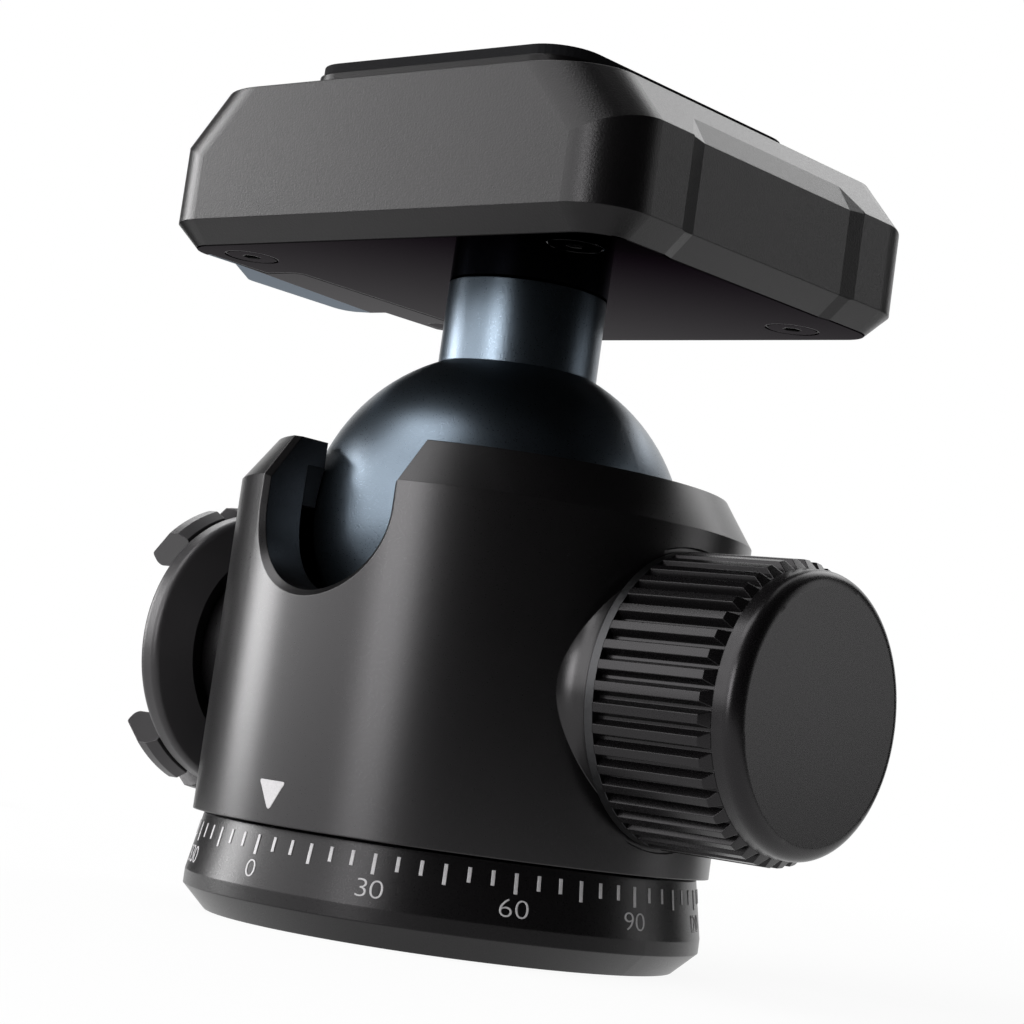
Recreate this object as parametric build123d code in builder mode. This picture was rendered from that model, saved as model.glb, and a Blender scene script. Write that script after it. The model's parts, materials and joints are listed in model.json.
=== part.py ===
# Tripod ball head: a panning base with a degree dial, a notched housing that
# clamps a ball and stem, a knurled main knob, a lobed pan knob, and a
# quick-release clamp with its plate on top.
#
# Frame: millimetres, +Z up. The origin is on the flat underside of the pan
# base, on the axis of its threaded hole. -Y is the side with the drop notch,
# +X the main knob, -X the pan knob. The ball stands upright.
import os
from math import atan, cos, degrees, hypot, pi, radians, sin, sqrt, tan

from build123d import *

os.makedirs("parts", exist_ok=True)

# ---------------------------------------------------------------- clearances
run_fit = 0.05      # radial, a shaft turning or sliding in its hole
turn_gap = 0.10     # between faces that turn on each other
ball_gap = 0.15     # between concentric spherical faces
wedge_gap = 0.06    # along the slanted wedge faces
over = 1.0          # how far a cut runs past what it cuts
edge_tol = 0.02     # when an edge is picked by its place

# ---------------------------------------------------------------------- ball
ball_r = 18.0
stem_r = 7.6
stem_len = 24.2    # ball centre to the end of the stem
notch_fit = 0.15    # notch wall to the stem
notch_bevel = 0.6
seat_liner_t = 0.6
seat_in_deg = 22.0  # seat liner, from straight down
seat_out_deg = 50.0
cup_slide = 0.15    # lower cup to the housing bore
cup_top_gap = 0.45  # cup to the stem when it lies in the notch
cup_room = 3.5      # spindle nut to the cup
cup_low = 15.85     # ball centre down to the cup's underside
cup_cone_in = 2.99  # 45 degree cone at the knob axis, in from the cup's side

# ------------------------------------------------------------------- housing
wall_t = 4.6        # housing wall
ball_room = 1.7     # ball to the housing bore
house_gap = 0.25    # dial to the lower edge of the housing
rim_in = 2.8        # width of the top chamfer
rim_drop = 4.05     # height of the top chamfer
rim_up = 6.55       # ball centre to the rim
mouth_in = 0.25     # mouth of the lip, inside the ball's equator
lip_t = 2.4
top_liner_t = 3.8
floor_t = 4.0       # plate that closes the housing from below
knob_drop = 12.8    # ball centre to the axis of both knobs

# ------------------------------------------------------------------ pan base
band_inset = 0.1    # widest band of the dial, inside the housing's side
band_h = 1.3
dial_taper = 1.0    # how far the marked dial narrows towards its top
foot_chamfer = 2.2  # bottom chamfer, inwards
foot_h = 2.1        # and upwards
dial_z = 8.7        # top of the dial
relief_in_r = 12.0  # shallow ring relief in the underside
relief_w = 7.0
relief_d = 0.6
thread_r = 3.97     # 3/8"-16 hole, at the crests
thread_depth = 9.0
shoulder_gap = 0.7  # shoulder to the housing bore
shoulder_h = 3.0    # shoulder above the dial
spindle_r = 8.0
nut_thread_in = 2.0  # thinner top of the spindle, under the nut
washer_t = 0.45
nut_r = 10.5
nut_t = 1.7
nut_slot_w = 2.4    # spanner slots across the nut
nut_slot_d = 1.4

# ----------------------------------------------------------------- main knob
boss_r = 12.0
boss_flare = 1.0    # boss widens by this where it leaves the round wall
boss_flare_in = 3.9  # inside the housing's side
boss_flare_bow = 0.36  # share of the flare's length and width at its middle
boss_flat = 0.9     # straight end of the boss
boss_in = 0.4       # face of the boss, inside the housing's side
spot_fit = 0.3      # spot face round the grip
flange_t = 1.15
flange_in = 0.05    # flange inside the ridges
flange_bevel = 0.25
grip_r = 13.2       # over the ridges
grip_len = 11.85
ridge_h = 0.85
ridge_count = 45
ridge_crest = 0.42  # share of the pitch
ridge_root = 0.16
ridge_end = 0.8     # axial length of the slanted ridge ends
cap_in = 0.78       # cap inside the ridges
cap_t = 2.5
cap_round = 1.35
screw_r = 4.0       # knob screw
plunger_r = 4.0
plunger_in = 1.9    # plunger's outer end, inside the boss face
plunger_gap = 0.75  # plunger's outer end to the screw's shoulder
main_tip_r = 2.5
main_tip_len = 1.9
tip_gap = 0.7       # end of the tip to the floor of its bore

# ------------------------------------------------------------------ pan knob
pan_boss_r = 9.0
pan_boss_len = 4.3  # beyond the housing's side
pan_boss_flare = 1.6
pan_boss_edge = 0.4
disc_in = 0.8       # face of the disc, inside the end of the boss
disc_t = 4.2
disc_dish = 1.8     # how far the face falls back towards the rim
disc_r = 13.95
disc_round = 0.9    # at both edges of the rim
recess_fit = 1.44   # recess in the disc, round the boss
recess_d = 2.0
lobe_out = 0.65     # lobes stand out beyond the disc
lobe_lean = 1.1     # over this length they lean in to it
lobe_t = 4.25
lobe_flat = 2.3     # straight part of the lobes
lobe_len = 6.5
lobe_chamfer = 2.7  # their outer chamfer, inwards
lobe_edge = 0.7
lobe_gap_deg = 46.3  # half of each wide gap, towards -Y and +Y
lobe_split = 2.35   # narrow slots near the top and the bottom
lobe_split_deg = 16.6  # turned by this to both sides of the vertical
hub_r = 6.5
hub_t = 2.6
pan_screw_r = 3.0
pan_tip_r = 1.75
pan_tip_len = 1.9   # in the plunger's bore
pan_tip_gap = 0.6
pan_shoulder_gap = 0.6
pan_plunger_r = 3.0
pan_plunger_in = 0.2  # inner end, outside the housing bore
pan_plunger_len = 5.1
pan_head_r = 4.6
pan_head_t = 1.2
pan_hex = 3.0       # across flats
brake_r = 1.6
brake_out = 2.2     # outside the housing bore
brake_drop = 1.55   # brake pin's contact below the knob axis

# --------------------------------------------------------------------- clamp
clamp_h = 14.65
clamp_x = 28.12     # half length
clamp_y = 23.34     # half width
clamp_round = 5.5
clamp_low = 2.1     # lower chamfer
clamp_up_w = 4.0    # upper chamfer on the two ends
clamp_up_h = 4.35
grip_recess = 0.35  # finger recess in the +X end
grip_half_y = 11.4
grip_end_w = 2.0    # width of its slanted end walls
grip_top_in = 2.2   # top of the recess below the clamp's top
grip_fall = 0.2     # its face starts this far below the upper chamfer
stem_gap = 0.1
spigot_r = 5.0
spigot_h = 4.7
bolt_head_r = 6.4
bolt_head_t = 2.6
bolt_r = 2.5
bolt_len = 9.0
bolt_hex = 4.0      # across flats
bolt_hex_d = 1.8
bolt_room = 0.8     # pocket round the bolt's head
case_screw_x = 21.2  # the one beside the lever
case_screw_far_x = 19.3  # the two towards +X
case_screw_y = 16.6
case_screw_r = 1.25
case_head_r = 2.6
case_screw_len = 5.0
frame_x = 21.5
frame_y = 19.5
frame_t = 6.1
frame_round = 2.5
dovetail = 1.5
dovetail_z = 2.8    # below the clamp's top
foot_z = 5.3        # underside of the plate's foot below the clamp's top
plate_x = 16.6
plate_y = 18.0
plate_round = 4.5
plate_lift = 0.2    # plate above the clamp's top
plate_t = 2.4
foot_in_x = 2.4     # foot inside the plate's edge
foot_in_y = 3.0
pad_t = 1.0
pad_inset = 0.3
plate_fit = 0.1
jaw_y = 9.0
jaw_in = 1.7        # back of the jaw, inside the frame's side
jaw_low = 0.8
cam_screw_r = 3.175  # 1/4"-20, over the crests
cam_neck_r = 2.4    # plain neck below the thread
cam_screw_out = 4.5
cam_screw_bevel = 0.5
cam_head_r = 7.0
cam_head_t = 2.2
cam_head_room = 0.6
cam_wide_d = 3.0    # depth of the wider hole in the plate
pad_hole_gap = 0.8
cam_head_gap = 0.3
cam_slot_w = 1.6
cam_slot_d = 1.1

# --------------------------------------------------------------------- lever
lever_x = 21.1      # inner wall of the lever's pocket
lever_y0 = -10.3    # its -Y wall
lever_y1 = 17.3     # its +Y wall
lever_tip_y = -18.0  # the narrow part along the edge runs on to here
lever_tip_in = 2.65  # width of the narrow part
lever_corner = 0.9  # slanted inner corner
lever_gap = 0.25    # round the lever, in plan
lever_pocket_h = 4.2
lever_roof = 0.2    # above the lever
lever_out = 3.93    # tab beyond the clamp's end
tab_y0 = -11.6      # tab, where it leaves the end
tab_y1 = -6.7       # and where its slanted side stops
tab_y2 = 7.5
tab_round = 1.8
tab_rise_deg = 3.0  # slope of the finger bevel under the tab
tab_line_in = 1.54   # the bevel starts this far inside the clamp's end, at tab_y1
tab_line_out = 0.02  # and this far outside it at tab_y2
pivot_x = 23.9
pivot_y = 14.2
pivot_r = 1.5
pin_in = 3.0        # pin held in the clamp above the pocket

# ----------------------------------------------------------- derived radii
bore_r = ball_r + ball_room
house_r = bore_r + wall_t
rim_r = house_r - rim_in
lip_r = ball_r - mouth_in
band_r = house_r - band_inset
dial_top_r = band_r - dial_taper
foot_r = band_r - foot_chamfer
relief_out_r = relief_in_r + relief_w
shoulder_r = bore_r - shoulder_gap
nut_thread_r = spindle_r - nut_thread_in
notch_r = stem_r + notch_fit
liner_in = ball_r + ball_gap
seat_out = liner_in + seat_liner_t
cup_in = seat_out + ball_gap
cup_r = bore_r - cup_slide
cup_cone_r = cup_r - cup_cone_in
boss_flare_r = boss_r + boss_flare
flange_r = grip_r - flange_in
cap_r = grip_r - cap_in
recess_r = pan_boss_r + recess_fit
lobe_r = disc_r + lobe_out
lobe_in_r = lobe_r - lobe_t
lobe_end_r = lobe_r - lobe_chamfer
bolt_pocket_r = bolt_head_r + bolt_room
lever_eye_r = pivot_x - lever_x - lever_gap

# ---------------------------------------------------------- derived heights
shoulder_z = dial_z + shoulder_h
washer_z = shoulder_z + washer_t
floor_z = washer_z + turn_gap / 2
floor_top = floor_z + floor_t
nut_z = floor_top + turn_gap
nut_top = nut_z + nut_t
cup_bottom_z = nut_top + cup_room
ball_z = cup_bottom_z + cup_low
knob_z = ball_z - knob_drop
house_z = dial_z + house_gap
rim_z = ball_z + rim_up
bend_z = rim_z - rim_drop
lip_z = rim_z - lip_t
cup_top = ball_z - stem_r - cup_top_gap
stem_top = ball_z + stem_len
clamp_z = stem_top + stem_gap
clamp_top = clamp_z + clamp_h
spigot_top = stem_top + spigot_h
bolt_seat = spigot_top + turn_gap
frame_bottom = clamp_top - frame_t
plate_z = clamp_top + plate_lift
plate_top = plate_z + plate_t
pad_top = plate_top + pad_t
foot_bottom = clamp_top - foot_z
tail_z = clamp_top - dovetail_z
screw_head_z = foot_bottom + cam_head_gap

# ------------------------------------------- derived places along the knobs
boss_flare_x = house_r - boss_flare_in
boss_x = house_r - boss_in
flange_x = boss_x + turn_gap
grip_x = flange_x + flange_t
grip_end_x = grip_x + grip_len
cap_end_x = grip_end_x + cap_t
plunger_end_x = boss_x - plunger_in
main_tip_x = plunger_end_x - main_tip_len
plunger_bore_x = main_tip_x - tip_gap
pan_boss_x = house_r + pan_boss_len
disc_face_x = pan_boss_x - disc_in
disc_back_x = disc_face_x + disc_t
lobe_flat_x = disc_back_x + lobe_flat
lobe_end_x = disc_back_x + lobe_len
pan_plunger_x = bore_r + pan_plunger_in
pan_plunger_end_x = pan_plunger_x + pan_plunger_len
pan_tip_x = pan_plunger_end_x - pan_tip_len
pan_plunger_bore_x = pan_tip_x - pan_tip_gap
brake_x = bore_r + brake_out
plate_foot_x = plate_x - foot_in_x
plate_foot_y = plate_y - foot_in_y
jaw_back_x = frame_x - jaw_in
lever_out_x = clamp_x + lever_out
main_axis = Axis((0, 0, knob_z), (1, 0, 0))


def on_knob_axis(x):
    """Plane across the knob axis, at x."""
    return Plane(origin=(x, 0, knob_z), x_dir=(0, 1, 0), z_dir=(1, 0, 0))


def shell_point(radius, angle):
    """Point of a sphere about the ball centre, angle from straight down."""
    return (radius * sin(radians(angle)), ball_z - radius * cos(radians(angle)))


# ------------------------------------------------------------------ pan base
with BuildPart() as pan_base:
    with BuildSketch(Plane.XZ):
        with BuildLine():
            Polyline(
                (0, 0), (foot_r, 0), (band_r, foot_h), (band_r, foot_h + band_h),
                (dial_top_r, dial_z), (shoulder_r, dial_z), (shoulder_r, shoulder_z),
                (spindle_r, shoulder_z), (spindle_r, floor_top), (nut_thread_r, floor_top),
                (nut_thread_r, nut_top), (0, nut_top), close=True)
        make_face()
    revolve(axis=Axis.Z)
    with BuildSketch(Plane.XY):
        Circle(relief_out_r)
        Circle(relief_in_r, mode=Mode.SUBTRACT)
    extrude(amount=relief_d, mode=Mode.SUBTRACT)
    with BuildSketch(Plane.XY):
        Circle(thread_r)
    extrude(amount=thread_depth, mode=Mode.SUBTRACT)
pan_base.part.label = "pan_base"
export_step(pan_base.part, "parts/pan_base.step")

with BuildPart() as pan_washer:
    with BuildSketch(Plane.XY.offset(shoulder_z)):
        Circle(shoulder_r)
        Circle(spindle_r, mode=Mode.SUBTRACT)
    extrude(amount=washer_t)
pan_washer.part.label = "pan_washer"
export_step(pan_washer.part, "parts/pan_washer.step")

with BuildPart() as spindle_nut:
    with BuildSketch(Plane.XY.offset(nut_z)):
        Circle(nut_r)
        Circle(nut_thread_r, mode=Mode.SUBTRACT)
    extrude(amount=nut_t)
    with BuildSketch(Plane.XY.offset(nut_z)):
        with PolarLocations(nut_r, 4):
            Rectangle(2 * nut_slot_d, nut_slot_w)
    extrude(amount=nut_t, mode=Mode.SUBTRACT)
spindle_nut.part.label = "spindle_nut"
export_step(spindle_nut.part, "parts/spindle_nut.step")

# ------------------------------------------------------------------- housing
with BuildPart() as housing:
    with BuildSketch(Plane.XZ):
        with BuildLine():
            Polyline(
                (bore_r, house_z), (house_r, house_z), (house_r, bend_z),
                (rim_r, rim_z), (lip_r, rim_z), (lip_r, lip_z), (bore_r, lip_z),
                close=True)
        make_face()
    revolve(axis=Axis.Z)
    # boss of the main knob, flared where it leaves the round wall
    with BuildSketch(Plane.XZ):
        with BuildLine():
            flare = ThreePointArc(
                (boss_flare_x, knob_z + boss_flare_r),
                (boss_flare_x + boss_flare_bow * (boss_x - boss_flat - boss_flare_x),
                 knob_z + boss_r + boss_flare_bow * (boss_flare_r - boss_r)),
                (boss_x - boss_flat, knob_z + boss_r))
            Polyline(
                flare @ 1, (boss_x, knob_z + boss_r), (boss_x, knob_z),
                (bore_r - over, knob_z), (bore_r - over, knob_z + boss_flare_r), flare @ 0)
        make_face()
    revolve(axis=main_axis)
    # boss of the pan knob
    with BuildSketch(Plane.XZ):
        with BuildLine():
            Polyline(
                (-(bore_r - over), knob_z), (-(bore_r - over), knob_z + pan_boss_r + pan_boss_flare),
                (-(house_r - 3 * pan_boss_flare), knob_z + pan_boss_r + pan_boss_flare),
                (-(house_r - pan_boss_flare), knob_z + pan_boss_r),
                (-(pan_boss_x - pan_boss_edge), knob_z + pan_boss_r),
                (-pan_boss_x, knob_z + pan_boss_r - pan_boss_edge),
                (-pan_boss_x, knob_z), close=True)
        make_face()
    revolve(axis=main_axis)
    with BuildSketch(Plane.XY.offset(house_z)):
        Circle(bore_r)
    extrude(amount=lip_z - house_z, mode=Mode.SUBTRACT)
    # spot face round the main knob, and the bores of both screws
    with BuildSketch(on_knob_axis(boss_x)):
        Circle(grip_r + spot_fit)
    extrude(amount=house_r, mode=Mode.SUBTRACT)
    with BuildSketch(on_knob_axis(0)):
        Circle(screw_r + run_fit)
    extrude(amount=2 * house_r, mode=Mode.SUBTRACT)
    with BuildSketch(on_knob_axis(0)):
        Circle(pan_screw_r + run_fit)
    extrude(amount=-2 * house_r, mode=Mode.SUBTRACT)
    with BuildSketch(Plane.XY.offset(house_z)):
        with Locations((-brake_x, 0)):
            Circle(brake_r + run_fit)
    extrude(amount=knob_z - house_z, mode=Mode.SUBTRACT)
    # drop notch: a U open at the top, round about the ball centre
    with BuildSketch(Plane.XZ):
        with Locations((0, ball_z)):
            Circle(notch_r)
            Rectangle(2 * notch_r, rim_z, align=(Align.CENTER, Align.MIN))
    extrude(amount=2 * house_r, mode=Mode.SUBTRACT)
    notch_edges = [
        e for e in housing.edges()
        if (e @ 0.5).Y < 0
        and abs(hypot((e @ 0.5).X, min((e @ 0.5).Z - ball_z, 0)) - notch_r) < edge_tol
        and hypot((e @ 0.5).X, (e @ 0.5).Y)
        > house_r - edge_tol - max((e @ 0.5).Z - bend_z, 0) * (house_r - rim_r) / (rim_z - bend_z)]
    chamfer(notch_edges, notch_bevel)
housing.part.label = "housing"
export_step(housing.part, "parts/housing.step")

with BuildPart() as housing_floor:
    with BuildSketch(Plane.XY.offset(floor_z)):
        Circle(bore_r)
        Circle(spindle_r + run_fit, mode=Mode.SUBTRACT)
    extrude(amount=floor_t)
housing_floor.part.label = "housing_floor"
export_step(housing_floor.part, "parts/housing_floor.step")

with BuildPart() as top_liner:
    liner_bottom = lip_z - top_liner_t
    with BuildSketch(Plane.XZ):
        with BuildLine():
            low = (sqrt(liner_in**2 - (liner_bottom - ball_z) ** 2), liner_bottom)
            high = (sqrt(liner_in**2 - (lip_z - ball_z) ** 2), lip_z)
            RadiusArc(low, high, -liner_in)
            Polyline(high, (bore_r, lip_z), (bore_r, liner_bottom), low)
        make_face()
    revolve(axis=Axis.Z)
    with BuildSketch(Plane.XZ):
        with Locations((0, ball_z)):
            Circle(notch_r)
            Rectangle(2 * notch_r, rim_z, align=(Align.CENTER, Align.MIN))
    extrude(amount=2 * house_r, mode=Mode.SUBTRACT)
top_liner.part.label = "top_liner"
export_step(top_liner.part, "parts/top_liner.step")

# ----------------------------------------------------- ball seat inside
with BuildPart() as seat_liner:
    with BuildSketch(Plane.XZ):
        with BuildLine():
            a0, a1 = shell_point(liner_in, seat_in_deg), shell_point(liner_in, seat_out_deg)
            b0, b1 = shell_point(seat_out, seat_in_deg), shell_point(seat_out, seat_out_deg)
            RadiusArc(a0, a1, -liner_in)
            Line(a1, b1)
            RadiusArc(b1, b0, seat_out)
            Line(b0, a0)
        make_face()
    revolve(axis=Axis.Z)
seat_liner.part.label = "seat_liner"
export_step(seat_liner.part, "parts/seat_liner.step")

with BuildPart() as lower_cup:
    with BuildSketch(Plane.XZ):
        with BuildLine():
            bottom_in = (sqrt(cup_in**2 - (cup_bottom_z - ball_z) ** 2), cup_bottom_z)
            top_in = (sqrt(cup_in**2 - (cup_top - ball_z) ** 2), cup_top)
            RadiusArc(bottom_in, top_in, -cup_in)
            Polyline(
                top_in, (cup_r, cup_top), (cup_r, knob_z + cup_r - cup_cone_r),
                (cup_cone_r - knob_z + cup_bottom_z, cup_bottom_z), bottom_in)
        make_face()
    revolve(axis=Axis.Z)
lower_cup.part.label = "lower_cup"
export_step(lower_cup.part, "parts/lower_cup.step")

with BuildPart() as main_plunger:
    with BuildSketch(on_knob_axis(0)):
        Circle(plunger_r)
    extrude(amount=plunger_end_x)
    # 45 degree nose that lifts the cup
    nose_x = cup_cone_r + wedge_gap * sqrt(2)
    with BuildSketch(Plane.XZ.offset(-2 * plunger_r)):
        with BuildLine():
            Polyline(
                (nose_x - 3 * plunger_r, knob_z - 3 * plunger_r),
                (nose_x + 3 * plunger_r, knob_z + 3 * plunger_r),
                (-plunger_end_x, knob_z + 3 * plunger_r),
                (-plunger_end_x, knob_z - 3 * plunger_r), close=True)
        make_face()
    extrude(amount=4 * plunger_r, mode=Mode.SUBTRACT)
    with BuildSketch(on_knob_axis(plunger_end_x)):
        Circle(main_tip_r + run_fit)
    extrude(amount=-(plunger_end_x - plunger_bore_x), mode=Mode.SUBTRACT)
main_plunger.part.label = "main_plunger"
export_step(main_plunger.part, "parts/main_plunger.step")

# --------------------------------------------------------- ball and stem
with BuildPart() as ball_stem:
    with Locations((0, 0, ball_z)):
        Sphere(ball_r)
    with BuildSketch(Plane.XY.offset(ball_z)):
        Circle(stem_r)
    extrude(amount=stem_top - ball_z)
    with BuildSketch(Plane.XY.offset(stem_top)):
        Circle(spigot_r)
    extrude(amount=spigot_h)
    with BuildSketch(Plane.XY.offset(spigot_top)):
        Circle(bolt_r)
    extrude(amount=-bolt_len, mode=Mode.SUBTRACT)
ball_stem.part.label = "ball_stem"
export_step(ball_stem.part, "parts/ball_stem.step")

with BuildPart() as stem_bolt:
    with BuildSketch(Plane.XY.offset(spigot_top - bolt_len)):
        Circle(bolt_r)
    extrude(amount=bolt_len)
    with BuildSketch(Plane.XY.offset(spigot_top)):
        Circle(bolt_head_r)
    extrude(amount=bolt_head_t + turn_gap)
    with BuildSketch(Plane.XY.offset(spigot_top + bolt_head_t + turn_gap)):
        RegularPolygon(bolt_hex / 2, 6, major_radius=False)
    extrude(amount=-bolt_hex_d, mode=Mode.SUBTRACT)
stem_bolt.part.label = "stem_bolt"
export_step(stem_bolt.part, "parts/stem_bolt.step")

# ----------------------------------------------------------------- main knob
with BuildPart() as main_grip:
    pitch = 2 * pi * grip_r / ridge_count
    with BuildSketch(on_knob_axis(grip_x)):
        Circle(grip_r)
        # one groove, repeated round the rim
        with PolarLocations(grip_r, ridge_count):
            Polygon(
                (-ridge_h, -ridge_root * pitch / 2), (-ridge_h, ridge_root * pitch / 2),
                (0, (1 - ridge_crest) * pitch / 2), (over, (1 - ridge_crest) * pitch / 2),
                (over, -(1 - ridge_crest) * pitch / 2), (0, -(1 - ridge_crest) * pitch / 2),
                align=None, mode=Mode.SUBTRACT)
    extrude(amount=grip_len)
    # slanted ends of the ridges beside the cap
    with BuildSketch(Plane.XZ):
        with BuildLine():
            Polyline(
                (grip_end_x - ridge_end, knob_z + grip_r), (grip_end_x, knob_z + grip_r - ridge_h),
                (grip_end_x + over, knob_z + grip_r - ridge_h), (grip_end_x + over, knob_z + grip_r + over),
                (grip_end_x - ridge_end, knob_z + grip_r + over), close=True)
        make_face()
    revolve(axis=main_axis, mode=Mode.SUBTRACT)
    with BuildSketch(on_knob_axis(grip_x)):
        Circle(screw_r)
    extrude(amount=grip_len, mode=Mode.SUBTRACT)
main_grip.part.label = "main_grip"
export_step(main_grip.part, "parts/main_grip.step")

with BuildPart() as main_flange:
    with BuildSketch(on_knob_axis(flange_x)):
        Circle(flange_r)
        Circle(screw_r, mode=Mode.SUBTRACT)
    extrude(amount=grip_x - flange_x)
    chamfer(main_flange.faces().sort_by(Axis.X)[0].outer_wire().edges(), flange_bevel)
main_flange.part.label = "main_flange"
export_step(main_flange.part, "parts/main_flange.step")

with BuildPart() as main_cap:
    with BuildSketch(on_knob_axis(grip_end_x)):
        Circle(cap_r)
    extrude(amount=cap_t)
    fillet(main_cap.faces().sort_by(Axis.X)[-1].edges(), cap_round)
main_cap.part.label = "main_cap"
export_step(main_cap.part, "parts/main_cap.step")

with BuildPart() as main_screw:
    with BuildSketch(on_knob_axis(main_tip_x)):
        Circle(main_tip_r)
    extrude(amount=grip_end_x - main_tip_x)
    with BuildSketch(on_knob_axis(plunger_end_x + plunger_gap)):
        Circle(screw_r)
    extrude(amount=grip_end_x - plunger_end_x - plunger_gap)
main_screw.part.label = "main_screw"
export_step(main_screw.part, "parts/main_screw.step")

# ------------------------------------------------------------------ pan knob
with BuildPart() as pan_grip:
    # dished disc that faces the housing
    with BuildSketch(Plane.XZ) as disc_outline:
        with BuildLine():
            Polyline(
                (-disc_back_x, knob_z), (-disc_back_x, knob_z + disc_r),
                (-(disc_face_x + disc_dish), knob_z + disc_r),
                (-disc_face_x, knob_z + recess_r),
                (-(disc_face_x + recess_d), knob_z + recess_r),
                (-(disc_face_x + recess_d), knob_z), close=True)
        make_face()
        fillet(disc_outline.vertices().group_by(Axis.Y)[-1], disc_round)
    revolve(axis=main_axis)
    # ring of six lobes behind it
    with BuildSketch(on_knob_axis(-disc_back_x)):
        Circle(lobe_r)
        Circle(lobe_in_r, mode=Mode.SUBTRACT)
        for side in (1, -1):
            Polygon(
                (0, 0), (2 * lobe_r * cos(radians(lobe_gap_deg)), 2 * lobe_r * sin(radians(lobe_gap_deg))),
                (2 * lobe_r, 0), (2 * lobe_r * cos(radians(lobe_gap_deg)), -2 * lobe_r * sin(radians(lobe_gap_deg))),
                rotation=90 * (1 - side), align=None, mode=Mode.SUBTRACT)
        for tilt in (lobe_split_deg, -lobe_split_deg):
            Rectangle(lobe_split, 3 * lobe_r, rotation=tilt, mode=Mode.SUBTRACT)
    extrude(amount=-lobe_len)
    with BuildSketch(Plane.XZ):
        with BuildLine():
            Polyline(
                (-lobe_flat_x, knob_z + lobe_r), (-lobe_end_x, knob_z + lobe_end_r),
                (-lobe_end_x - over, knob_z + lobe_end_r), (-lobe_end_x - over, knob_z + lobe_r + over),
                (-lobe_flat_x, knob_z + lobe_r + over), close=True)
        make_face()
    revolve(axis=main_axis, mode=Mode.SUBTRACT)
    # the lobes lean in towards the rim of the disc
    with BuildSketch(Plane.XZ):
        with BuildLine():
            Polyline(
                (-disc_back_x, knob_z + disc_r), (-disc_back_x - lobe_lean, knob_z + lobe_r),
                (-disc_back_x - lobe_lean, knob_z + lobe_r + over), (-disc_back_x, knob_z + lobe_r + over),
                close=True)
        make_face()
    revolve(axis=main_axis, mode=Mode.SUBTRACT)
    lobe_ends = pan_grip.faces().filter_by(Plane.YZ).group_by(Axis.X)[0]
    fillet(lobe_ends.edges().filter_by(GeomType.CIRCLE), lobe_edge)
    with BuildSketch(on_knob_axis(-disc_back_x)):
        Circle(hub_r)
    extrude(amount=-hub_t)
    with BuildSketch(on_knob_axis(0)):
        Circle(pan_screw_r)
    extrude(amount=-2 * lobe_end_x, mode=Mode.SUBTRACT)
pan_grip.part.label = "pan_grip"
export_step(pan_grip.part, "parts/pan_grip.step")

with BuildPart() as pan_screw:
    pan_head_x = disc_back_x + hub_t
    with BuildSketch(on_knob_axis(-pan_head_x)):
        Circle(pan_screw_r)
    extrude(amount=pan_head_x - pan_plunger_end_x - pan_shoulder_gap)
    with BuildSketch(on_knob_axis(-pan_head_x)):
        Circle(pan_tip_r)
    extrude(amount=pan_head_x - pan_tip_x)
    with BuildSketch(on_knob_axis(-pan_head_x)):
        Circle(pan_head_r)
    extrude(amount=-pan_head_t)
    with BuildSketch(on_knob_axis(-pan_head_x - pan_head_t)):
        RegularPolygon(pan_hex / 2, 6, major_radius=False)
    extrude(amount=pan_head_t, mode=Mode.SUBTRACT)
pan_screw.part.label = "pan_screw"
export_step(pan_screw.part, "parts/pan_screw.step")

with BuildPart() as pan_plunger:
    with BuildSketch(on_knob_axis(-pan_plunger_end_x)):
        Circle(pan_plunger_r)
    extrude(amount=pan_plunger_end_x - pan_plunger_x)
    # 45 degree nose that presses the brake pin down
    slope_x = -brake_x - wedge_gap * sqrt(2)
    slope_z = knob_z - brake_drop
    with BuildSketch(Plane.XZ.offset(-2 * pan_plunger_r)):
        with BuildLine():
            Polyline(
                (slope_x - 3 * pan_plunger_r, slope_z - 3 * pan_plunger_r),
                (slope_x + 3 * pan_plunger_r, slope_z + 3 * pan_plunger_r),
                (slope_x + 3 * pan_plunger_r, slope_z - 3 * pan_plunger_r), close=True)
        make_face()
    extrude(amount=4 * pan_plunger_r, mode=Mode.SUBTRACT)
    with BuildSketch(on_knob_axis(-pan_plunger_end_x)):
        Circle(pan_tip_r + run_fit)
    extrude(amount=pan_plunger_end_x - pan_plunger_bore_x, mode=Mode.SUBTRACT)
pan_plunger.part.label = "pan_plunger"
export_step(pan_plunger.part, "parts/pan_plunger.step")

with BuildPart() as brake_pin:
    with BuildSketch(Plane.XY.offset(dial_z + run_fit)):
        with Locations((-brake_x, 0)):
            Circle(brake_r)
    extrude(amount=knob_z - dial_z)
    with BuildSketch(Plane.XZ.offset(-2 * brake_r)):
        with BuildLine():
            Polyline(
                (-brake_x - 3 * brake_r, knob_z - brake_drop - 3 * brake_r),
                (-brake_x + 3 * brake_r, knob_z - brake_drop + 3 * brake_r),
                (-brake_x - 3 * brake_r, knob_z - brake_drop + 3 * brake_r), close=True)
        make_face()
    extrude(amount=4 * brake_r, mode=Mode.SUBTRACT)
brake_pin.part.label = "brake_pin"
export_step(brake_pin.part, "parts/brake_pin.step")

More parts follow.
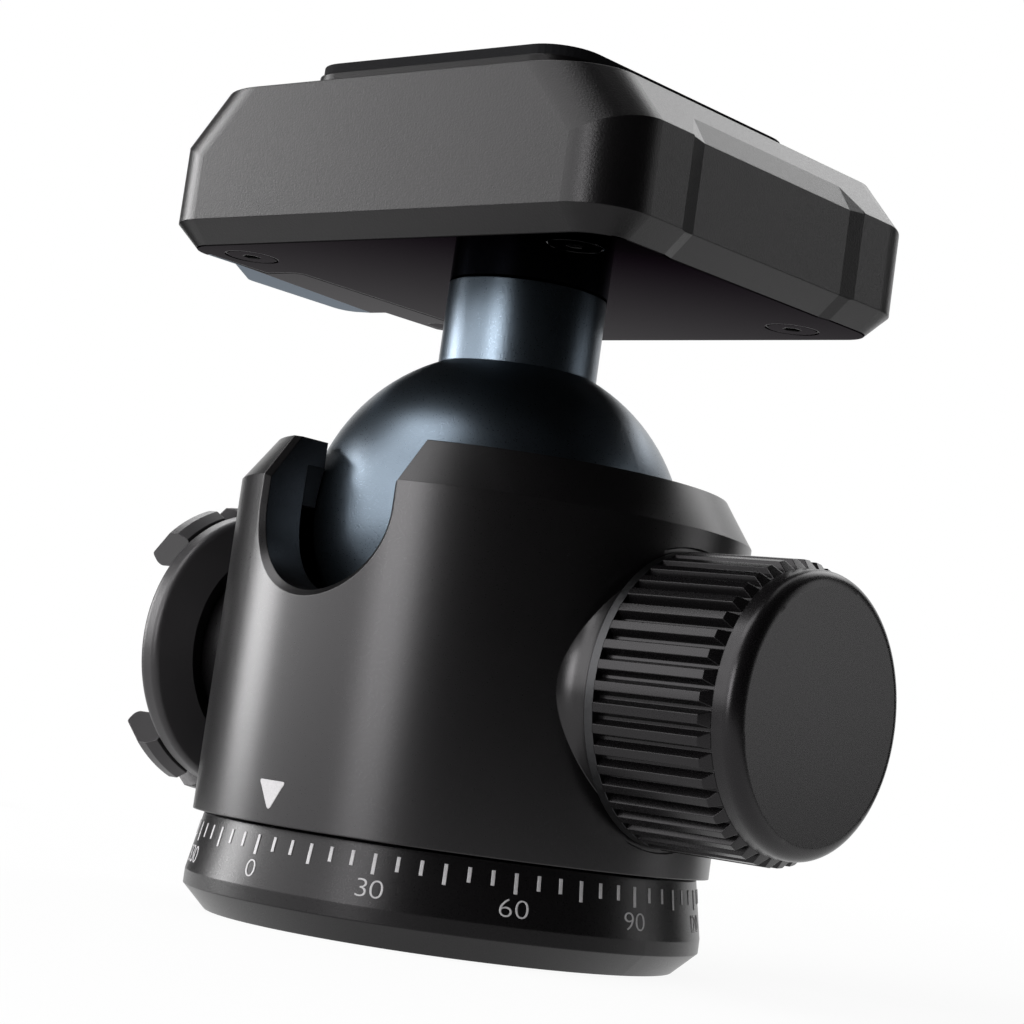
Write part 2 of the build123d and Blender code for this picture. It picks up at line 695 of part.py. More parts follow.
# --------------------------------------------------------------------- clamp
# finger recess in the +X end: the outline set in, with slanted end walls
with BuildPart() as recess_cut:
    deep_x = clamp_x - grip_recess
    recess_top = clamp_top - grip_top_in
    for start, length, slant in (
            (0, grip_half_y, 0), (grip_half_y, grip_end_w, degrees(atan(grip_recess / grip_end_w)))):
        with BuildSketch(Plane.XZ.offset(start)):
            with BuildLine():
                Polyline(
                    (deep_x - clamp_low - over, clamp_z - over), (deep_x, clamp_z + clamp_low),
                    (deep_x, clamp_top - clamp_up_h - grip_fall),
                    (clamp_x - clamp_up_w / clamp_up_h * (clamp_up_h - grip_top_in), recess_top),
                    (clamp_x + over, recess_top), (clamp_x + over, clamp_z - over), close=True)
            make_face()
        extrude(amount=length, taper=slant)
    mirror(about=Plane.XZ)


def pocket_outline(end_x):
    """Outline of the lever's pocket, out to end_x, beyond the clamp's -X end."""
    tip_x = clamp_x - lever_tip_in
    return [
        (-lever_x, lever_y1), (-lever_x, lever_y0 + lever_corner), (-lever_x - lever_corner, lever_y0),
        (-tip_x, lever_y0), (-tip_x, lever_tip_y), (-end_x, lever_tip_y), (-end_x, lever_y1)]


case_screws = [
    (-case_screw_x, -case_screw_y), (case_screw_far_x, -case_screw_y),
    (case_screw_far_x, case_screw_y)]

with BuildPart() as clamp_body:
    # side outline, with long chamfers along the top of both ends
    with BuildSketch(Plane.XZ.offset(-clamp_y)):
        with BuildLine():
            Polyline(
                (0, clamp_z), (clamp_x, clamp_z), (clamp_x, clamp_top - clamp_up_h),
                (clamp_x - clamp_up_w, clamp_top), (0, clamp_top), close=True)
        make_face()
        mirror(about=Plane.YZ)
    extrude(amount=2 * clamp_y)
    # rounded corners, straight up and then along the slanted edges
    corners = [e for e in clamp_body.edges() if abs((e @ 0.5).X) > clamp_x - clamp_up_w
               and abs(abs((e @ 0.5).Y) - clamp_y) < clamp_y / 100]
    fillet(corners, clamp_round)
    chamfer(clamp_body.faces().sort_by(Axis.Z)[0].edges(), clamp_low)
    add(recess_cut.part, mode=Mode.SUBTRACT)
    # seat of the plate frame, bolt pocket and stem bore
    with BuildSketch(Plane.XY.offset(frame_bottom)):
        RectangleRounded(2 * frame_x, 2 * frame_y, frame_round)
    extrude(amount=frame_t, mode=Mode.SUBTRACT)
    with BuildSketch(Plane.XY.offset(bolt_seat - turn_gap)):
        Circle(bolt_pocket_r)
    extrude(amount=clamp_h, mode=Mode.SUBTRACT)
    with BuildSketch(Plane.XY.offset(clamp_z)):
        Circle(spigot_r + run_fit)
    extrude(amount=clamp_h, mode=Mode.SUBTRACT)
    # lever pocket, open below and at the -X end, with the hole of its pin
    with BuildSketch(Plane.XY.offset(clamp_z)):
        with BuildLine():
            Polyline(*pocket_outline(clamp_x + over), close=True)
        make_face()
    extrude(amount=lever_pocket_h, mode=Mode.SUBTRACT)
    with BuildSketch(Plane.XY.offset(clamp_z + lever_pocket_h)):
        with Locations((-pivot_x, pivot_y)):
            Circle(pivot_r)
    extrude(amount=pin_in, mode=Mode.SUBTRACT)
    # countersunk holes of the screws in the underside
    with Locations(*[Plane(origin=(x, y, clamp_z), z_dir=(0, 0, -1)) for x, y in case_screws]):
        CounterSinkHole(case_screw_r, case_head_r, depth=case_screw_len)
clamp_body.part.label = "clamp_body"
export_step(clamp_body.part, "parts/clamp_body.step")

with BuildPart() as clamp_frame:
    with BuildSketch(Plane.XY.offset(frame_bottom)):
        RectangleRounded(2 * frame_x, 2 * frame_y, frame_round)
    extrude(amount=frame_t)
    # opening for the plate's foot, with a dovetail under the +X edge
    with BuildSketch(Plane.XZ.offset(-plate_foot_y - plate_fit)):
        with BuildLine():
            edge_x = plate_foot_x + plate_fit
            Polyline(
                (-edge_x - dovetail, frame_bottom - over), (-edge_x - dovetail, clamp_top + over),
                (edge_x, clamp_top + over), (edge_x, tail_z + plate_fit),
                (edge_x + dovetail, tail_z - dovetail + plate_fit),
                (edge_x + dovetail, frame_bottom - over), close=True)
        make_face()
    extrude(amount=2 * (plate_foot_y + plate_fit), mode=Mode.SUBTRACT)
    # guide for the jaw, out to the wall
    with BuildSketch(Plane.XY.offset(frame_bottom - over)):
        with Locations((-frame_x - over, 0)):
            Rectangle(frame_x, 2 * (jaw_y + run_fit), align=(Align.MIN, Align.CENTER))
    extrude(amount=frame_t + 2 * over, mode=Mode.SUBTRACT)
clamp_frame.part.label = "clamp_frame"
export_step(clamp_frame.part, "parts/clamp_frame.step")

with BuildPart() as jaw:
    with BuildSketch(Plane.XZ.offset(-jaw_y)):
        with BuildLine():
            face_x = plate_foot_x + plate_fit
            Polyline(
                (-jaw_back_x, frame_bottom + jaw_low), (-jaw_back_x, clamp_top - plate_fit),
                (-face_x, clamp_top - plate_fit), (-face_x, tail_z + plate_fit),
                (-face_x - dovetail, tail_z - dovetail + plate_fit),
                (-face_x - dovetail, frame_bottom + jaw_low), close=True)
        make_face()
    extrude(amount=2 * jaw_y)
jaw.part.label = "jaw"
export_step(jaw.part, "parts/jaw.step")

with BuildPart() as release_lever:
    with BuildSketch(Plane.XY.offset(clamp_z)):
        with BuildLine():
            Polyline(*pocket_outline(clamp_x + lever_gap), close=True)
        make_face()
        offset(amount=-lever_gap, kind=Kind.INTERSECTION)
        # round end about the pin
        with Locations((-pivot_x, pivot_y)):
            Rectangle(2 * clamp_x, 2 * clamp_y, align=(Align.CENTER, Align.MIN), mode=Mode.SUBTRACT)
            Circle(lever_eye_r)
        # finger tab
        Polygon(
            (-clamp_x + over, tab_y0), (-clamp_x, tab_y0), (-lever_out_x, tab_y1), (-lever_out_x, tab_y2),
            (-clamp_x, tab_y2), (-clamp_x + over, tab_y2), align=None)
    extrude(amount=lever_pocket_h - lever_roof)
    fillet(release_lever.edges().filter_by(Axis.Z).group_by(Axis.X)[0], tab_round)
    # the clamp's lower chamfer runs on along the lever
    end_edges = [e for e in release_lever.edges().filter_by(Axis.Y)
                 if (e @ 0.5).Z < clamp_z + lever_gap and abs((e @ 0.5).X + clamp_x) < lever_gap]
    chamfer(end_edges, clamp_low)
    # finger bevel under the tab
    line_0 = Vector(-clamp_x + tab_line_in, tab_y1, clamp_z)
    line_1 = Vector(-clamp_x - tab_line_out, tab_y2, clamp_z)
    rising = Vector(-1, 0, tan(radians(tab_rise_deg)))
    split(bisect_by=Plane(origin=line_0, z_dir=rising.cross(line_1 - line_0) * -1), keep=Keep.TOP)
    with BuildSketch(Plane.XY.offset(clamp_z)):
        with Locations((-pivot_x, pivot_y)):
            Circle(pivot_r + run_fit)
    extrude(amount=lever_pocket_h, mode=Mode.SUBTRACT)
release_lever.part.label = "release_lever"
export_step(release_lever.part, "parts/release_lever.step")

with BuildPart() as lever_pin:
    with BuildSketch(Plane.XY.offset(clamp_z)):
        with Locations((-pivot_x, pivot_y)):
            Circle(pivot_r)
    extrude(amount=lever_pocket_h + pin_in)
lever_pin.part.label = "lever_pin"
export_step(lever_pin.part, "parts/lever_pin.step")

# ------------------------------------------------------- quick-release plate
with BuildPart() as camera_plate:
    with BuildSketch(Plane.XY.offset(plate_z)):
        RectangleRounded(2 * plate_x, 2 * plate_y, plate_round)
    extrude(amount=plate_t)
    with BuildSketch(Plane.XZ.offset(-plate_foot_y)):
        with BuildLine():
            Polyline(
                (plate_foot_x, plate_z), (plate_foot_x, tail_z),
                (plate_foot_x + dovetail, tail_z - dovetail), (plate_foot_x + dovetail, foot_bottom),
                (-plate_foot_x - dovetail, foot_bottom), (-plate_foot_x - dovetail, tail_z - dovetail),
                (-plate_foot_x, tail_z), (-plate_foot_x, plate_z), close=True)
        make_face()
    extrude(amount=2 * plate_foot_y)
    # hollow under the plate for the screw's head
    with BuildSketch(Plane.XY.offset(foot_bottom)):
        Circle(cam_head_r + cam_head_room)
    extrude(amount=cam_head_gap + cam_head_t + turn_gap, mode=Mode.SUBTRACT)
    # collar that holds the screw's neck, and the wider hole above it
    with BuildSketch(Plane.XY.offset(foot_bottom)):
        Circle(cam_neck_r + run_fit)
    extrude(amount=pad_top - foot_bottom, mode=Mode.SUBTRACT)
    with BuildSketch(Plane.XY.offset(plate_top)):
        Circle(cam_screw_r + run_fit)
    extrude(amount=-cam_wide_d, mode=Mode.SUBTRACT)
camera_plate.part.label = "camera_plate"
export_step(camera_plate.part, "parts/camera_plate.step")

with BuildPart() as rubber_pad:
    with BuildSketch(Plane.XY.offset(plate_top)):
        RectangleRounded(2 * (plate_x - pad_inset), 2 * (plate_y - pad_inset), plate_round - pad_inset)
        Circle(cam_screw_r + pad_hole_gap, mode=Mode.SUBTRACT)
    extrude(amount=pad_t)
rubber_pad.part.label = "rubber_pad"
export_step(rubber_pad.part, "parts/rubber_pad.step")

with BuildPart() as camera_screw:
    with BuildSketch(Plane.XY.offset(screw_head_z)):
        Circle(cam_head_r)
    extrude(amount=cam_head_t)
    with BuildSketch(Plane.XY.offset(screw_head_z)):
        Rectangle(3 * cam_head_r, cam_slot_w)
    extrude(amount=cam_slot_d, mode=Mode.SUBTRACT)
    with BuildSketch(Plane.XY.offset(screw_head_z + cam_head_t)):
        Circle(cam_neck_r)
    extrude(amount=pad_top - screw_head_z - cam_head_t)
    with BuildSketch(Plane.XY.offset(pad_top)):
        Circle(cam_screw_r)
    extrude(amount=cam_screw_out)
    chamfer(camera_screw.faces().sort_by(Axis.Z)[-1].edges(), cam_screw_bevel)
camera_screw.part.label = "camera_screw"
export_step(camera_screw.part, "parts/camera_screw.step")
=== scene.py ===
# Looks of the tripod ball head: finishes for its solids, the dial's marks, the
# small screws, the threads and the ribbed pad, and the studio round it.
#
# Metres, in the frame of the solids: +Z up, the drop notch towards -Y, the main
# knob towards +X, the pan knob towards -X.
import json
from math import atan, cos, pi, radians, sin, tan

import bmesh
import bpy
from mathutils import Matrix, Vector


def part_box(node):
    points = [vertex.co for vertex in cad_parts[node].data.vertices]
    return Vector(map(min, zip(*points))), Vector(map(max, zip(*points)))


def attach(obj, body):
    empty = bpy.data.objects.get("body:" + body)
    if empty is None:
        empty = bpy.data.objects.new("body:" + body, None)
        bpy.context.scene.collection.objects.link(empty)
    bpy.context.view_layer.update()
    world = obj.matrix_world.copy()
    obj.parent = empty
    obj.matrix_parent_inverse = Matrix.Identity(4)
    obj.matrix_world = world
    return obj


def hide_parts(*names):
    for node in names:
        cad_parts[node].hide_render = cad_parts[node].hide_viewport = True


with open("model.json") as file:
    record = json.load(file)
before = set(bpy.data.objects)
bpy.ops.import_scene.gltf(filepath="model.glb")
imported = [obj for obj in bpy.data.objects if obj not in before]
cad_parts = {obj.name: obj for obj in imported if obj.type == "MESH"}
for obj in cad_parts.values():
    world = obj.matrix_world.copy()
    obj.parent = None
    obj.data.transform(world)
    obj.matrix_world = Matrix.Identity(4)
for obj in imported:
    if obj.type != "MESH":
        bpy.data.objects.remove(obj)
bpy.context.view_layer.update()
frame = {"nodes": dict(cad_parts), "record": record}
nodes = frame["nodes"]
mm = 0.001

# ------------------------------------------------------------ marks of the dial
mark_proud = 0.015 * mm     # paint stands out of the metal by this
mark_t = 0.05 * mm
dial_turn = radians(-3.7)   # the dial's zero, from the index mark
dial_foot_z = 3.4 * mm      # where the dial's cone begins
dial_taper = 1.0 * mm       # how much it narrows up to the housing
tick_step = 5               # degrees
tick_w = 0.33 * mm
tick_top_z = 7.92 * mm
tick_long_z = 6.15 * mm
tick_short_z = 6.63 * mm
tick_edge = 0.01 * mm
long_every = 3              # every third tick is a long one
number_step = 30            # degrees
number_h = 1.55 * mm
number_z = 4.95 * mm        # middle of the numbers
number_gap = 0.30 * mm
number_wide = 1.25          # digits drawn wider than the font
number_thin = -0.016        # outline drawn in, in ems
index_z = 12.75 * mm        # top of the index mark
index_h = 2.75 * mm
index_half = radians(3.75)  # half its width, round the housing
index_round = 0.55 * mm
index_sides = 360           # of the whole round that it is cut from

# ---------------------------------------------------------------- small screws
case_screw_at = [(-21.2, -16.6), (19.3, -16.6), (19.3, 16.6)]  # mm
case_screw_in = 0.02 * mm   # below the clamp's underside
case_head_r = 2.5 * mm
case_head_t = 1.45 * mm
case_shank_r = 1.2 * mm
case_socket = 0.85 * mm
case_socket_d = 0.9 * mm
case_edge = 0.10 * mm

# --------------------------------------------------------------- camera screw
cam_crest_r = 3.17 * mm
cam_root_r = 2.55 * mm
cam_pitch = 1.27 * mm
cam_crest_flat = 0.16 * mm
cam_ridge = 0.94            # width of the ridge's foot, in pitches
cam_ridge_in = 0.08 * mm    # how deep the foot sits in the core
cam_run_out = 0.45 * mm     # the thread stops this far below the screw's end
cam_run_in = 0.05 * mm      # and starts this far above the pad
cam_point = 0.35 * mm       # chamfer of the screw's end
cam_neck_r = 2.4 * mm
cam_head_r = 7.0 * mm
cam_head_t = 2.2 * mm
cam_head_edge = 0.3 * mm
cam_slot_w = 1.6 * mm
cam_slot_d = 1.1 * mm

# ----------------------------------------------------------------------- pad
rib_pitch = 1.6 * mm
rib_groove = 0.6 * mm
rib_d = 0.35 * mm
rib_count = 9               # grooves to each side of the middle one
rib_border = 1.6 * mm
pad_corner = 4.2 * mm
pad_hole_r = 3.97 * mm

# ------------------------------------------------- where the finishes change
polish_z = 61.74 * mm       # the clamp's underside is polished below this
lever_line = ((-26.30, -9.30), (-28.00, 6.25))  # mm; bright metal outwards of it
base_thread_r = 4.3 * mm    # bore of the base, threaded inside this radius
base_thread_z = 9.0 * mm
base_pitch = 1.5875 * mm
base_groove = 0.9 * mm
touching = 0.001 * mm       # corners this near are one corner


# ------------------------------------------------------------------ bench work
def deselect():
    bpy.ops.object.select_all(action="DESELECT")


def pick(*objects):
    """Select these alone; the first is the active one."""
    deselect()
    for one in objects:
        one.select_set(True)
    bpy.context.view_layer.objects.active = objects[0]


def settle(piece, name):
    """Put the piece's place into its mesh, and name it."""
    pick(piece)
    bpy.ops.object.transform_apply(location=True, rotation=True, scale=True)
    piece.name = name
    piece.data.name = name
    return piece


def edit(piece):
    pick(piece)
    bpy.ops.object.mode_set(mode="EDIT")


def done():
    bpy.ops.object.mode_set(mode="OBJECT")


def choose(piece, kind, test):
    """In edit mode, select only the faces, edges or corners that pass the test."""
    bpy.ops.mesh.select_mode(type=kind)
    bpy.ops.mesh.select_all(action="DESELECT")
    shape = bmesh.from_edit_mesh(piece.data)
    for one in {"FACE": shape.faces, "EDGE": shape.edges, "VERT": shape.verts}[kind]:
        if test(one):
            one.select_set(True)
    shape.select_flush_mode()
    bmesh.update_edit_mesh(piece.data)


def apply_modifier(piece, kind, **settings):
    pick(piece)
    modifier = piece.modifiers.new(kind.title(), kind)
    for key, value in settings.items():
        setattr(modifier, key, value)
    bpy.ops.object.modifier_apply(modifier=modifier.name)


def twin(piece):
    """A copy with its own mesh."""
    copy = piece.copy()
    copy.data = piece.data.copy()
    bpy.context.scene.collection.objects.link(copy)
    return copy


def merge(name, pieces):
    """Join pieces that are already in place into one."""
    for one in pieces:
        settle(one, name)
    pick(*pieces)
    bpy.ops.object.join()
    joined = bpy.context.view_layer.objects.active
    joined.name = name
    return joined


def close_up(piece):
    """Merge doubled corners and turn every face outwards."""
    edit(piece)
    bpy.ops.mesh.select_all(action="SELECT")
    bpy.ops.mesh.remove_doubles(threshold=touching / 2)
    bpy.ops.mesh.normals_make_consistent(inside=False)
    if bmesh.from_edit_mesh(piece.data).calc_volume(signed=True) < 0:
        bpy.ops.mesh.flip_normals()
    done()


def smooth(piece, angle=30):
    pick(piece)
    bpy.ops.object.shade_smooth_by_angle(angle=radians(angle))


def discard(piece):
    bpy.data.objects.remove(piece)


def hand_over(piece, finish, body, slot, *stands_for):
    """Give the piece its finish and its body; the slot is not used."""
    piece.data.materials.clear()
    piece.data.materials.append(finish)
    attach(piece, body)
    if stands_for:
        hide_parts(*stands_for)


# -------------------------------------------------------------------- finishes
noise_span = (0.3, 0.7)     # where nearly all of a noise's values lie


class Nodes:
    """Shader nodes, added and joined one by one."""

    def __init__(self, tree):
        self.tree = tree
        self.tree.nodes.clear()

    def add(self, kind, **settings):
        node = self.tree.nodes.new("ShaderNode" + kind)
        for key, value in settings.items():
            if hasattr(node, key):
                setattr(node, key, value)
            else:
                node.inputs[key.replace("_", " ").title()].default_value = value
        return node

    def join(self, source, output, target, entry):
        self.tree.links.new(source.outputs[output], target.inputs[entry])

    def reckon(self, operation, *terms):
        """A Math node; each term is a number or a (node, output) pair."""
        node = self.add("Math", operation=operation)
        for count, term in enumerate(terms):
            if isinstance(term, tuple):
                self.join(*term, node, count)
            else:
                node.inputs[count].default_value = term
        return (node, 0)

    def plainly_seen(self):
        """1 for what the camera sees, straight, mirrored or through glass; else 0."""
        paths = self.add("LightPath")
        seen = self.reckon("MAXIMUM", (paths, "Is Camera Ray"), (paths, "Is Glossy Ray"))
        return self.reckon("MAXIMUM", seen, (paths, "Is Transmission Ray"))

    def mix(self, share, low, high, out):
        """Send a mix of two shaders out: the high one by its share, the rest the low one."""
        mixed = self.add("MixShader")
        self.join(*share, mixed, 0)
        self.join(low, 0, mixed, 1)
        self.join(high, 0, mixed, 2)
        self.join(mixed, 0, out, "Surface")


class Finish(Nodes):
    """A procedural material, built up node by node on Object coordinates."""

    def __init__(self, name):
        self.material = bpy.data.materials.new(name)
        self.material.use_nodes = True
        super().__init__(self.material.node_tree)
        self.out = self.add("OutputMaterial")
        self.shader = self.add("BsdfPrincipled")
        self.join(self.shader, "BSDF", self.out, "Surface")
        self.place = self.add("TexCoord")

    def noise(self, scale, detail, roughness=0.5):
        noise = self.add("TexNoise")
        noise.inputs["Scale"].default_value = scale
        noise.inputs["Detail"].default_value = detail
        noise.inputs["Roughness"].default_value = roughness
        self.join(self.place, "Object", noise, "Vector")
        return noise

    def axes(self):
        """The three Object coordinates, each as a (node, output) pair."""
        apart = self.add("SeparateXYZ")
        self.join(self.place, "Object", apart, "Vector")
        return [(apart, 0), (apart, 1), (apart, 2)]

    def blend(self, noise, low, high):
        """Base colour between low and high, as the noise has it."""
        ramp = self.add("ValToRGB")
        for element, position, colour in zip(ramp.color_ramp.elements, noise_span, (low, high)):
            element.position = position
            element.color = (*colour, 1)
        self.join(noise, "Fac", ramp, "Fac")
        self.join(ramp, "Color", self.shader, "Base Color")

    def between(self, noise, low, high):
        """Roughness between low and high, as the noise has it."""
        spread = self.add("MapRange")
        ends = {"From Min": noise_span[0], "From Max": noise_span[1], "To Min": low, "To Max": high}
        for entry, value in ends.items():
            spread.inputs[entry].default_value = value
        self.join(noise, "Fac", spread, "Value")
        self.join(spread, "Result", self.shader, "Roughness")

    def grain(self, noise, depth, round_edges):
        """Bumps as deep as depth, over a soft rounding of sharp edges."""
        edges = self.add("Bevel", samples=8)
        edges.inputs["Radius"].default_value = round_edges
        bump = self.add("Bump")
        bump.inputs["Strength"].default_value = 1.0
        bump.inputs["Distance"].default_value = depth
        self.join(noise, "Fac", bump, "Height")
        self.join(edges, "Normal", bump, "Normal")
        self.join(bump, "Normal", self.shader, "Normal")


def dyed_metal(name, colour, rough, grain_depth, sheen=(0.90, 0.88, 0.90), cloud=0.12,
               edge=0.15 * mm, grain_scale=9000, detail=3.0, vary=0.04):
    """Bead-blasted and anodised metal: fine even grain, faint clouds in the dye."""
    finish = Finish(name)
    fine = finish.noise(grain_scale, detail=detail, roughness=0.6)
    clouds = finish.noise(90, detail=3.0)
    finish.blend(
        clouds, tuple(c * (1 - cloud) for c in colour), tuple(c * (1 + cloud) for c in colour))
    finish.between(fine, rough - vary, rough + vary)
    finish.grain(fine, grain_depth, round_edges=edge)
    finish.shader.inputs["Specular Tint"].default_value = (*sheen, 1)
    return finish


def polished_where(finish, mask, colour, rough):
    """Turn a dyed metal into a polished, mirror-like one where the mask is 1."""
    links = finish.tree.links
    shader = finish.shader
    tone = shader.inputs["Base Color"].links[0].from_socket
    mixed = finish.add("Mix", data_type="RGBA")
    sockets = [one for one in mixed.inputs if one.enabled]
    links.new(mask[0].outputs[mask[1]], sockets[0])
    links.new(tone, sockets[1])
    sockets[2].default_value = (*colour, 1)
    shown = next(one for one in mixed.outputs if one.enabled)
    links.new(shown, shader.inputs["Base Color"])
    gloss = shader.inputs["Roughness"].links[0].from_node
    less = finish.reckon("SUBTRACT", 1.0, mask)
    part = finish.reckon("MULTIPLY", (gloss, 0), less)
    level = finish.reckon("MULTIPLY_ADD", mask, rough, part)
    links.new(level[0].outputs[0], shader.inputs["Roughness"])
    metal = mask
    if shader.inputs["Metallic"].links:
        metal = finish.reckon("MAXIMUM", (shader.inputs["Metallic"].links[0].from_node, 0), mask)
    links.new(metal[0].outputs[0], shader.inputs["Metallic"])
    blasted = finish.reckon("SUBTRACT", 1.0, metal)
    for node in finish.tree.nodes:
        if node.bl_idname == "ShaderNodeBump":
            links.new(blasted[0].outputs[0], node.inputs["Strength"])
    return finish


def bare_metal(name, colour, rough):
    """Machined or plated metal with fine tool marks."""
    finish = Finish(name)
    marks = finish.noise(2500, detail=4.0, roughness=0.7)
    finish.blend(
        marks, tuple(c * 0.85 for c in colour), tuple(min(c * 1.1, 1) for c in colour))
    finish.between(marks, rough - 0.06, rough + 0.08)
    finish.grain(marks, 0.004 * mm, round_edges=0.08 * mm)
    finish.shader.inputs["Metallic"].default_value = 1.0
    return finish


def moulded(name, colour, rough, grain_scale, grain_depth, sheen=1.0):
    """Plastic or rubber with a faint moulded grain."""
    finish = Finish(name)
    grain = finish.noise(grain_scale, detail=3.0)
    finish.blend(
        grain, tuple(c * 0.9 for c in colour), tuple(min(c * 1.1, 1) for c in colour))
    finish.between(grain, rough - 0.05, rough + 0.05)
    finish.grain(grain, grain_depth, round_edges=0.1 * mm)
    finish.shader.inputs["Specular Tint"].default_value = (sheen, sheen, sheen, 1)
    return finish


black_dye = (0.0036, 0.0033, 0.0036)
polish = ((0.020, 0.0195, 0.020), 0.07)         # colour and roughness
bright_cut = ((0.30, 0.38, 0.46), 0.30)


def clamp_finish():
    """The clamp's black, with its underside polished."""
    finish = dyed_metal(
        "black anodised clamp", black_dye, 0.33, 0.018 * mm, sheen=(0.22, 0.215, 0.22),
        grain_scale=5500)
    finish.shader.inputs["Specular IOR Level"].default_value = 1.0
    below = finish.reckon("LESS_THAN", finish.axes()[2], polish_z)
    return polished_where(finish, below, *polish)


def lever_finish():
    """Black lever, polished below, whose tab is cut bright outwards of a line."""
    finish = dyed_metal(
        "black and bright lever", black_dye, 0.36, 0.012 * mm, sheen=(0.30, 0.295, 0.30))
    finish.shader.inputs["Specular IOR Level"].default_value = 1.0
    x, y, z = finish.axes()
    (x0, y0), (x1, y1) = lever_line
    lean = (x1 - x0) / (y1 - y0)
    limit = finish.reckon("MULTIPLY_ADD", y, lean, (x0 - lean * y0) * mm)
    outside = finish.reckon("LESS_THAN", x, limit)
    below = finish.reckon("LESS_THAN", z, polish_z)
    polished_where(finish, below, *polish)
    return polished_where(finish, outside, *bright_cut)


def base_finish():
    """The base's black, with the thread of its bore as a deep winding groove."""
    finish = dyed_metal(
        "black anodised base", black_dye, 0.30, 0.006 * mm, sheen=(0.42, 0.41, 0.42))
    x, y, z = finish.axes()
    around = finish.reckon("ARCTAN2", y, x)
    climb = finish.reckon("DIVIDE", z, base_pitch)
    turns = finish.reckon("MULTIPLY_ADD", around, 1 / (2 * pi), climb)
    ridge = finish.reckon("PINGPONG", turns, 0.5)
    radius = finish.reckon("SQRT", finish.reckon(
        "MULTIPLY_ADD", x, x, finish.reckon("MULTIPLY", y, y)))
    inside = finish.reckon(
        "MULTIPLY", finish.reckon("LESS_THAN", radius, base_thread_r),
        finish.reckon("LESS_THAN", z, base_thread_z))
    depth = finish.reckon("MULTIPLY", ridge, inside)
    grain = next(one for one in finish.tree.nodes if one.bl_idname == "ShaderNodeBump")
    thread = finish.add("Bump", Distance=base_groove)
    finish.join(depth[0], 0, thread, "Height")
    finish.join(grain, "Normal", thread, "Normal")
    finish.join(thread, "Normal", finish.shader, "Normal")
    return finish


black = dyed_metal("black anodised", black_dye, 0.29, 0.003 * mm, vary=0.02)
knob_black = dyed_metal(
    "black anodised knob", black_dye, 0.27, 0.0012 * mm, sheen=(0.58, 0.56, 0.58),
    edge=0.12 * mm, vary=0.015)
# The pan knob gets a lighter copy of the black anodised dye: painted light, standing in for the
# brighter light that falls on its disc face.
pan_black_painted_lighter = dyed_metal(
    "pan knob black, painted lighter", (0.019, 0.018, 0.019), 0.36, 0.010 * mm, sheen=(0.8, 0.78, 0.8))
clamp_black = clamp_finish()
base_black = base_finish()
lever_black = lever_finish()
ball_grey = dyed_metal(
    "blue-grey anodised", (0.105, 0.130, 0.158), 0.31, 0.016 * mm, sheen=(1, 1, 1),
    grain_scale=7000, detail=1.4)
ball_grey.shader.inputs["Metallic"].default_value = 1.0
flange_steel = bare_metal("blackened steel", (0.05, 0.05, 0.052), 0.35)
plated = bare_metal("plated steel", (0.55, 0.55, 0.56), 0.28)
black_oxide = bare_metal("black oxide steel", (0.06, 0.06, 0.065), 0.32)
turned_aluminium = bare_metal("turned aluminium", (0.60, 0.60, 0.61), 0.30)
turned_brass = bare_metal("turned brass", (0.62, 0.48, 0.24), 0.28)
acetal = moulded("acetal", (0.72, 0.70, 0.66), 0.45, 1500, 0.004 * mm)
black_acetal = moulded("black acetal", (0.008, 0.008, 0.009), 0.45, 1500, 0.004 * mm, sheen=0.2)
pad_rubber = moulded("pad rubber", (0.008, 0.008, 0.009), 0.75, 5000, 0.012 * mm, sheen=0.3)
pad_rubber.shader.inputs["Specular IOR Level"].default_value = 0.1
plate_black = dyed_metal(
    "black anodised plate", black_dye, 0.34, 0.007 * mm, sheen=(0.4, 0.39, 0.4))
plate_black.shader.inputs["Specular IOR Level"].default_value = 0.2
mark_paint = moulded("mark paint", (0.43, 0.42, 0.43), 0.55, 6000, 0.003 * mm)

finish_of = {
    "black_anodised": black, "grey_ball": ball_grey, "blue_lever": lever_black,
    "grey_steel": flange_steel, "plated_steel": plated, "black_steel": black_oxide,
    "raw_aluminium": turned_aluminium, "brass": turned_brass, "liner_plastic": acetal,
    "black_plastic": black_acetal, "black_rubber": pad_rubber,
}
own_finish = {
    "pan_base": base_black, "clamp_body": clamp_black, "main_grip": knob_black,
    "main_cap": knob_black, "pan_grip": pan_black_painted_lighter, "lever_pin": clamp_black,
    "camera_plate": plate_black,
}
for row in frame["record"]["subparts"]:
    node = nodes[row["node"]]
    finish = own_finish.get(row["node"], finish_of[row["material_slot"]])
    node.data.materials.clear()
    node.data.materials.append(finish.material)

# --------------------------------------------------------------------- dial
dial_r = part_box("pan_base")[1].x
dial_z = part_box("housing")[0].z
dial_slope = atan(dial_taper / (dial_z - dial_foot_z))


def on_dial(piece, angle, z):
    """Lay a piece that faces -Y on the dial's cone, at an angle from its zero."""
    radius = dial_r - (z - dial_foot_z) * tan(dial_slope) + mark_proud - mark_t / 2
    turn = angle + dial_turn
    piece.location = (radius * sin(turn), -radius * cos(turn), z)
    piece.rotation_euler = (-dial_slope, 0, turn)


def dial_tick(low_z):
    """One tick: a flat bar of paint with its outer corners broken."""
    deselect()
    bpy.ops.mesh.primitive_cube_add(size=1)
    tick = bpy.context.object
    tick.scale = (tick_w, mark_t, (tick_top_z - low_z) / cos(dial_slope))
    settle(tick, "tick")
    edit(tick)
    choose(tick, "EDGE", lambda e: all(v.co.y < 0 for v in e.verts))
    bpy.ops.mesh.bevel(offset=tick_edge, segments=1)
    done()
    return tick


def dial_ticks():
    ticks = []
    models = {low: dial_tick(low) for low in (tick_long_z, tick_short_z)}
    for count in range(360 // tick_step):
        low = tick_short_z if count % long_every else tick_long_z
        tick = twin(models[low])
        on_dial(tick, radians(count * tick_step), (tick_top_z + low) / 2)
        ticks.append(tick)
    for model in models.values():
        discard(model)
    return merge("dial_ticks", ticks)


